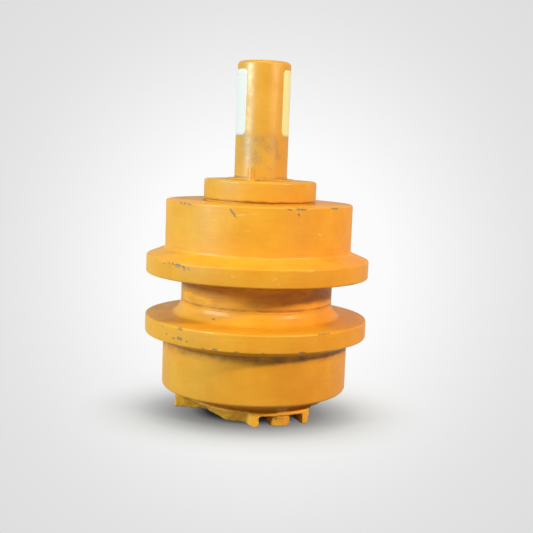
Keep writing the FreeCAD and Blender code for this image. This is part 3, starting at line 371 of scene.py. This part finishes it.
chips = marks(
    (TREAD, -16.4, 253.6, -15.6, 252.4, 0.6), (TREAD, -15.5, 251.2, -14.4, 249.6, 0.9),
    (TREAD, -14.2, 248.6, -13.7, 246.6, 0.5), (TREAD, -13.0, 245.6, -12.6, 244.9, 0.4),
    (TREAD, -14.4, 251.4, -13.9, 251.0, 0.3), (TREAD, 16.0, 256.6, 18.4, 256.4, 0.6),
    (TREAD, 21.6, 256.9, 27.4, 256.8, 0.8), (TREAD, 46.6, 257.8, 52.4, 257.0, 0.7),
    (TREAD, -53.7, 257.8, -51.5, 256.9, 0.8), (TREAD, -49.4, 257.4, -47.8, 257.0, 0.9),
    (TREAD, -45.6, 256.9, -43.4, 256.2, 0.6), (TREAD, 22.6, 250.6, 23.4, 249.2, 0.6),
    (FLANGE, -52.0, 187.6, -51.0, 187.9, 0.5), (FLANGE, -44.9, 189.6, -43.6, 188.2, 0.7),
    (FLANGE, -41.8, 187.4, -39.6, 188.0, 1.3), (FLANGE, -37.6, 187.3, -36.6, 185.4, 0.9),
    (FLANGE, -34.6, 186.2, -33.8, 184.6, 0.6), (FLANGE, -37.2, 183.4, -36.6, 182.6, 0.5),
    (FLANGE, -47.6, 189.0, -46.9, 188.6, 0.5), (FLANGE, -38.9, 116.2, -37.8, 115.4, 1.1),
    (FLANGE, -39.4, 104.6, -37.6, 103.6, 1.1), (FLANGE, -51.3, 114.9, -51.0, 113.4, 0.6),
    (FLANGE, -47.8, 106.6, -47.5, 105.6, 0.7), (FLANGE, -43.2, 102.9, -42.4, 102.5, 0.7),
    (FLANGE, -34.3, 102.4, -33.8, 102.0, 0.8), (FLANGE, -19.8, 97.6, -18.2, 97.4, 0.8),
    (FLANGE, -9.4, 96.9, -7.6, 96.8, 0.6), (FLANGE, 31.8, 116.6, 38.5, 116.9, 0.5),
    (FLANGE, -24.9, 97.2, -23.8, 97.2, 0.5), (FLANGE, 22.0, 96.9, 24.6, 96.9, 0.6),
    (98.4, -30.4, 125.0, -27.4, 122.4, 0.5), (FLANGE, 3.6, 96.8, 4.6, 96.8, 0.5),
    (FLANGE, 52.0, 170.2, 55.0, 170.2, 0.6),
)
scratches = marks(
    (TREAD, -12.2, 247.9, -8.0, 249.2, 0.5), (TREAD, -6.0, 249.6, -1.4, 250.3, 0.3),
    (TREAD, 36.5, 228.0, 39.0, 227.2, 0.6), (FLANGE, -12.0, 182.4, -10.4, 181.0, 0.5),
    (FLANGE, 7.6, 179.4, 9.0, 181.6, 0.5), (FLANGE, 24.6, 189.8, 27.4, 189.8, 0.6),
    (FLANGE, -24.0, 116.6, -19.5, 116.6, 0.6), (FLANGE, 9.8, 176.4, 10.4, 174.4, 0.3),
    (TREAD, -8.0, 231.0, -5.0, 231.2, 0.25), (FLANGE, 29.0, 113.0, 31.0, 108.0, 0.25),
)
# Painted shade: one crease ring darkens the groove under the upper flange, one paints a shadow on the
# tread under the lower flange; the thin ring at the bead is a dirt line, and the broad groove ring is
# brushed dirt streaks that also stand in as painted shade.
shell_paint = paint("shell_paint", SHELL_COLOUR, chips=chips, scratches=scratches,
                    crease_dirt_and_shade=[(GROOVE, 166, 7), (94.2, 136.6, 2), (115.3, 86, 10)],
                    groove_dirt_and_shade=[(GROOVE, 151, 22)])
shell.data.materials.append(shell_paint)
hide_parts("roller_shell")
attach(shell, "roller")

# The ring bead in the groove.
# A thin seam of weld metal at the foot of the flare, uneven as it was laid, under the same paint.
BEAD_RADIUS, BEAD_THICKNESS, BEAD_HEIGHT = 92.8 * MM, 3.4 * MM, 133.77 * MM
bead = bmesh.new()
bmesh.ops.create_circle(bead, cap_ends=False, segments=12, radius=BEAD_THICKNESS / 2)
bmesh.ops.rotate(bead, verts=bead.verts[:], cent=(0, 0, 0), matrix=Matrix.Rotation(pi / 2, 3, "X"))
bmesh.ops.translate(bead, verts=bead.verts[:], vec=(BEAD_RADIUS, 0, BEAD_HEIGHT))
bmesh.ops.spin(bead, geom=bead.verts[:] + bead.edges[:], cent=(0, 0, 0), axis=(0, 0, 1),
               dvec=(0, 0, 0), angle=2 * pi, steps=720, use_merge=True)
bmesh.ops.recalc_face_normals(bead, faces=bead.faces[:])
bead = piece_of("ring_bead", bead)
lumps = bpy.data.textures.new("bead_lumps", "CLOUDS")
lumps.noise_scale = 5 * MM
swelling = bead.modifiers.new("lumps", "DISPLACE")
swelling.texture = lumps
swelling.texture_coords = "LOCAL"
swelling.strength = 0.8 * MM
swelling.mid_level = 0.8
bead.data.materials.append(paint("bead_paint", SHELL_COLOUR, roughness=0.42, peel=0.06 * MM,
                                 crease_dirt_and_shade=[(94.4, 135.6, 1.6)]))
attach(bead, "roller")

# The seal collar.
# A turned steel disc pressed on the shaft; its lip dips into the shell over the face seal, and a
# low hub stands up round the bar. Painted with the roller.
# The collar's paint is a darker copy of the roller's yellow: painted shade against the stronger light it
# catches.
COLLAR_COLOUR_DARKENED = (0.69, 0.343, 0.024)
collar = lathe("collar_disc", [
    (33.02, 253.4, 0), (40, 253.4, 0), (40, 271.9, 0), (60.52, 271.9, 0), (63.87, 259.4, 0),
    (63.87, 256.4, 0), (66.47, 256.4, 0.4), (66.47, 260.9, 0), (69.17, 260.9, 0.6),
    (69.17, 284.9, 3), (42, 284.9, 0.4), (41, 286.9, 0.5), (33.02, 286.9, 0.3),
])
# Crease rings paint shade, with some dirt, into the joints at the collar's hub, round the bar and at its
# foot.
collar.data.materials.append(paint("collar_paint", COLLAR_COLOUR_DARKENED, streaks=0.4,
                                   crease_dirt_and_shade=[(42.2, 285, 1.8), (33, 287, 1.8), (69.2, 260.6, 3)]))
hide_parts("seal_collar")
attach(collar, "shaft")

# The dowel pin.
# A hardened pin pressed into a hole of the collar; it stands up into the bracket and keeps the
# shaft from turning. Painted over with the collar, with shade painted down its sides.
DOWEL_TURN, DOWEL_FROM_AXIS, DOWEL_RADIUS = -12.7, 50, 4.5
dowel = lathe("dowel_peg", [
    (0, 275.4, 0), (4.2, 275.4, 0), (5, 276.2, 0), (5, 285.4, 0.2), (DOWEL_RADIUS, 285.9, 0.2),
    (DOWEL_RADIUS, 300.2, 0.8), (0, 300.2, 0),
], steps=48, closed=False)
dowel.data.transform(Matrix.Translation(on_roller(DOWEL_TURN, DOWEL_FROM_AXIS, 0)))
# Painted shade: dark strokes down the pin's flanks stand for its own shaded sides.
dowel_flank_shade = []
for side, foot in ((-88, 288), (64, 286), (115, 290)):
    low, high = (on_roller(DOWEL_TURN, DOWEL_FROM_AXIS, height) + on_roller(side, DOWEL_RADIUS, 0)
                 for height in (foot, 298))
    dowel_flank_shade.append((low, high, 1.2 * MM))
dowel.data.materials.append(paint("dowel_paint", SHAFT_COLOUR_DARKENED, roughness=0.38, gloss=0.75,
                                  smudges_and_shade=dowel_flank_shade))
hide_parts("dowel_pin")
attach(dowel, "shaft")

# The end cap with its three bolt guards.
# One iron casting, sand-rough under the paint, with soft edges and a ragged web beside each guard;
# it closes the shell, holds the oil, and its arched guards keep stones off the bolt heads.
# The cap's paint is a brighter copy of the roller's yellow: painted light for the bounce light its
# underside lacks.
CAP_COLOUR_BRIGHTENED = (0.86, 0.42, 0.03)


def cast(node, name, voxel, rough, lump, reshape=None):
    """A casting from a node: its edges are melted together and its skin roughened, always inwards."""
    shape = bmesh.new()
    shape.from_mesh(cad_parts[node].data)
    bmesh.ops.remove_doubles(shape, verts=shape.verts[:], dist=1e-6)
    if reshape:
        reshape(shape)
    piece = piece_of(name, shape)
    piece.data.materials.clear()
    melt = piece.modifiers.new("melt", "REMESH")
    melt.mode = "VOXEL"
    melt.voxel_size = voxel
    melt.use_smooth_shade = True
    soften = piece.modifiers.new("soften", "SMOOTH")
    soften.factor = 0.5
    soften.iterations = 4
    skin = bpy.data.textures.new(f"{name}_skin", "CLOUDS")
    skin.noise_scale = lump
    skin.noise_depth = 3
    roughen = piece.modifiers.new("roughen", "DISPLACE")
    roughen.texture = skin
    roughen.texture_coords = "LOCAL"
    roughen.strength = rough
    roughen.mid_level = 0.85
    return piece


GUARD_TURN, GUARD_PITCH = 21.2, 120
FOOT_RADIUS, FOOT_HEIGHT = 86 * MM, 2 * MM
LEDGE_RADIUS, LEDGE_HEIGHT = 97 * MM, 17.8 * MM
LEDGE_TRIM, LEDGE_LIFT = 0.04, 1.4 * MM
LIFTS = ((-89, 1), (-81, 1), (-72, 0.72), (-57, 0.52), (-50, 0.27), (-44, 0.06), (-39, 0), (25, 0),
         (28, 0.57), (31, 1))


def leave_fans(shape):
    """Lifts and trims the cone all round, but for a ragged fan on the left of each guard.

    LIFTS says how far, by the angle in degrees from the middle of a guard.
    """
    rise = LEDGE_HEIGHT - FOOT_HEIGHT

    def share_of(corner):
        """How far up the cone a corner lies, from its foot to its ledge, or None if it lies off it."""
        share = (corner.co.z - FOOT_HEIGHT) / rise
        radius = FOOT_RADIUS + share * (LEDGE_RADIUS - FOOT_RADIUS)
        on_cone = -0.02 < share < 1.02 and abs(corner.co.xy.length - radius) < 0.8 * MM
        return share if on_cone else None

    rings = []
    for edge in shape.edges:
        low, high = (share_of(corner) for corner in edge.verts)
        if low is not None and high is not None and abs(low - high) < 0.02:
            rings.append(edge)
    bmesh.ops.subdivide_edges(shape, edges=rings, cuts=3)
    for corner in shape.verts:
        share = share_of(corner)
        if share is None:
            continue
        turn = degrees(atan2(corner.co.x, -corner.co.y)) - GUARD_TURN
        turn = (turn - LIFTS[0][0]) % GUARD_PITCH + LIFTS[0][0]
        lifted = next(low + (high - low) * (turn - start) / (end - start)
                      for (start, low), (end, high) in zip(LIFTS, LIFTS[1:]) if turn <= end)
        ragged = 1 - 0.25 * sin(1.9 * turn) * sin(0.7 * turn)
        corner.co.z += lifted * ((1 - share) * ragged * rise + share * LEDGE_LIFT)
        corner.co.xy *= 1 - lifted * share * LEDGE_TRIM


cap = cast("end_cap", "cap_casting", voxel=1.3 * MM, rough=1.3 * MM, lump=8 * MM, reshape=leave_fans)
cap.data.materials.append(paint("cap_paint", CAP_COLOUR_BRIGHTENED, peel=0.12 * MM, unevenness=0.3 * MM))
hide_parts("end_cap")
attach(cap, "roller")

# The three cap bolts with their spring washers.
# Hexagon bolts of zinc-plated steel, painted over with the cap, so that the heads have lost
# their sharp edges; a split washer sits under each head.
bolt_paint = paint("fastener_paint", (0.80, 0.375, 0.03), roughness=0.4, peel=0.08 * MM)
for number in (1, 2, 3):
    bolt = cast(f"cap_bolt_{number}", f"bolt_{number}", voxel=0.6 * MM, rough=0.3 * MM, lump=4 * MM)
    bolt.data.materials.append(bolt_paint)
    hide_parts(f"cap_bolt_{number}")
    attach(bolt, "roller")
    dress(f"spring_washer_{number}", bolt_paint)

# The oil plug with its copper washer.
# A turned and milled steel plug in the middle of the cap, where the oil goes in; an annealed
# copper ring seals it.
dress("oil_plug", bolt_paint)
dress("oil_plug_washer", ground_steel("copper", (0.72, 0.35, 0.2), 0.34, 0.5 * MM))

# The paper label round the back of the shaft.
# A blank sticker, white on one half and cream on the other, wrapped round the painted bar with
# rounded corners.
LABEL_TOP, LABEL_FOOT, LABEL_CORNER = 417.3 * MM, 338.3 * MM, 5 * MM
LABEL_START, LABEL_WRAP = radians(45.5), radians(276)
LABEL_RADIUS = (SHAFT_RADIUS + 0.12) * MM
label = bmesh.new()
bmesh.ops.create_grid(label, x_segments=180, y_segments=24, size=0.5)
middle, half_height = (LABEL_TOP + LABEL_FOOT) / 2, (LABEL_TOP - LABEL_FOOT) / 2
for corner in label.verts:
    along = corner.co.x + 0.5
    turn = LABEL_START + along * LABEL_WRAP
    inset = max(0, LABEL_CORNER - min(along, 1 - along) * LABEL_WRAP * LABEL_RADIUS)
    trim = LABEL_CORNER - sqrt(LABEL_CORNER ** 2 - inset ** 2)
    height = middle + corner.co.y * 2 * (half_height - trim)
    corner.co = Vector((LABEL_RADIUS * sin(turn), -LABEL_RADIUS * cos(turn), height))
bmesh.ops.recalc_face_normals(label, faces=label.faces[:])
label = piece_of("label", label)
sheet = label.modifiers.new("sheet", "SOLIDIFY")
sheet.thickness = 0.12 * MM
sheet.offset = -1
paper, tree, shader, place = new_finish("label_paper", 0.32)
sides = tree.nodes.new("ShaderNodeSeparateXYZ")
tree.links.new(place, sides.inputs["Vector"])
half_tone = between(tree, sides.outputs["X"], (-1 * MM, 1 * MM), (0, 1))
fibre = noise(tree, place, 0.7 * MM, detail=2, low=0, high=0.12)
ink = blend(tree, half_tone, (0.78, 0.74, 0.76), (0.84, 0.82, 0.50))
tree.links.new(blend(tree, fibre, ink, (0.62, 0.6, 0.55)), shader.inputs["Base Color"])
relief(tree, shader, (noise(tree, place, 5 * MM), 0.05 * MM))
label.data.materials.append(paper)
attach(label, "shaft")

# The studio: camera, pale floor, lamps and backdrop.
# A long lens looks slightly down between a cool lamp on the left and a warm one on the right, with
# a weak one above. Floor and backdrop carry a painted pool of light that fades to light grey, and a
# shadow is painted on the floor under the roller.
FOCAL_PIXELS = 929.1
IMAGE_PIXELS = 533
camera_data = bpy.data.cameras.new("camera")
camera_data.sensor_width = 36
camera_data.lens = FOCAL_PIXELS / IMAGE_PIXELS * camera_data.sensor_width
camera = bpy.data.objects.new("camera", camera_data)
bpy.context.scene.collection.objects.link(camera)
yaw, pitch, roll = radians(0.568), radians(7.038), radians(2.158)
forward = Vector((sin(yaw) * cos(pitch), cos(yaw) * cos(pitch), -sin(pitch)))
level_right = Vector((cos(yaw), -sin(yaw), 0))
level_up = level_right.cross(forward)
right = cos(roll) * level_right + sin(roll) * level_up
up = cos(roll) * level_up - sin(roll) * level_right
eye = Vector((0, -1150.9, 319.7)) * MM
camera.matrix_world = Matrix.Translation(eye) @ Matrix((right, up, -forward)).transposed().to_4x4()
bpy.context.scene.camera = camera
BACKDROP_SPAN = 0.4
BACKDROP_LEVELS = ((0.12, 0.965), (0.32, 0.965), (0.44, 0.905), (0.57, 0.84), (0.69, 0.79),
                   (0.78, 0.765), (0.95, 0.735))


def ramp(tree, value, stops):
    """Greys by a value, from pairs of a position and a level."""
    fade = tree.nodes.new("ShaderNodeValToRGB")
    tree.links.new(value, fade.inputs["Fac"])
    for number, (position, level) in enumerate(stops):
        stop = fade.color_ramp.elements[number] if number < 2 else fade.color_ramp.elements.new(position)
        stop.position = position
        stop.color = (level, level, level, 1)
    return fade.outputs["Color"]


def backdrop_tone(tree, direction):
    """A painted pool of light: white in the middle of the backdrop and light grey away from it, by the
    angle from its middle.
    """
    aim = arrows(tree, "DOT_PRODUCT", arrows(tree, "NORMALIZE", direction), forward)
    angle = sums(tree, "ARCCOSINE", aim, 0.0)
    return ramp(tree, between(tree, angle, (0, BACKDROP_SPAN), (0, 1)), BACKDROP_LEVELS)


def on_show(tree):
    """One for rays from the camera and for rays by way of a gloss or a clear piece, else nought."""
    ray = tree.nodes.new("ShaderNodeLightPath")
    mirrored = sums(tree, "MAXIMUM", ray.outputs["Is Glossy Ray"], ray.outputs["Is Transmission Ray"])
    return sums(tree, "MAXIMUM", ray.outputs["Is Camera Ray"], mirrored)


FLOOR_REACH = 8
DULL_GREY = (0.27, 0.27, 0.27, 1)
sweep = bmesh.new()
bmesh.ops.create_grid(sweep, x_segments=1, y_segments=1, size=FLOOR_REACH)
floor = piece_of("floor", sweep)
floor_finish, tree, shader, place = new_finish("floor_paper", 0.9)
tone = backdrop_tone(tree, arrows(tree, "SUBTRACT", place, eye))
# A painted shadow: the floor's colour darkens round the roller, darkest under the cap.
SHADE_SPAN = 220
SHADE_SHAPE, SHADE_SHIFT = (1, 1.24, 1), (0.004, 0.038, 0)
SHADE_LEVELS = ((30, 0.01), (52, 0.03), (64, 0.15), (72, 0.24), (87, 0.33), (103, 0.47), (120, 0.60),
                (140, 0.77), (161, 0.88), (186, 0.96), (214, 1))
from_middle = arrows(tree, "LENGTH", arrows(tree, "MULTIPLY_ADD", place, SHADE_SHAPE, SHADE_SHIFT))
shade = ramp(tree, between(tree, from_middle, (0, SHADE_SPAN * MM), (0, 1)),
             [(reach / SHADE_SPAN, level) for reach, level in SHADE_LEVELS])
tone = arrows(tree, "MULTIPLY", tone, shade)
seen = tree.nodes.new("ShaderNodeEmission")
tree.links.new(tone, seen.inputs["Color"])
matt = tree.nodes.new("ShaderNodeBsdfDiffuse")
tree.links.new(tone, matt.inputs["Color"])
dull = tree.nodes.new("ShaderNodeBsdfDiffuse")
dull.inputs["Color"].default_value = DULL_GREY


def mixed(tree, share, first, second):
    """Mixes two shaders by a share of the second."""
    mixer = tree.nodes.new("ShaderNodeMixShader")
    tree.links.new(share, mixer.inputs[0])
    tree.links.new(first.outputs[0], mixer.inputs[1])
    tree.links.new(second.outputs[0], mixer.inputs[2])
    return mixer


matt_share = between(tree, arrows(tree, "LENGTH", place), (0.11, SHADE_SPAN * MM), (0.18, 0.0))
paper_floor = mixed(tree, on_show(tree), dull, mixed(tree, matt_share, seen, matt))
tree.links.new(paper_floor.outputs[0], tree.nodes["Material Output"].inputs["Surface"])
tree.nodes.remove(shader)
floor.data.materials.append(floor_finish)


LAMP_AIM = Vector((0, 0, 0.2))
DIM_ROOM = (0.03, 0.03, 0.03)


def lamp(name, place, size, strength, colour):
    """A soft square lamp that faces the roller's middle."""
    light = bpy.data.lights.new(name, "AREA")
    light.shape = "SQUARE"
    light.size = size
    light.energy = strength
    light.color = colour
    holder = bpy.data.objects.new(name, light)
    holder.location = place
    holder.rotation_euler = (LAMP_AIM - holder.location).to_track_quat("-Z", "Y").to_euler()
    bpy.context.scene.collection.objects.link(holder)


lamp("left_lamp", (-1.80, -0.96, 0.92), 0.45, 51, (0.80, 0.97, 0.92))
lamp("right_lamp", (1.52, -1.18, 1.22), 0.22, 46, (1, 0.8, 0.44))
lamp("top_lamp", (0, -0.5, 2.0), 0.8, 9, (0.9, 1, 0.75))
world = bpy.data.worlds.new("studio")
world.use_nodes = True
tree = world.node_tree
around = tree.nodes.new("ShaderNodeTexCoord").outputs["Generated"]
sky = blend(tree, on_show(tree), DIM_ROOM, backdrop_tone(tree, around))
tree.links.new(sky, tree.nodes["Background"].inputs["Color"])
bpy.context.scene.world = world
bpy.context.scene.view_settings.view_transform = "Standard"
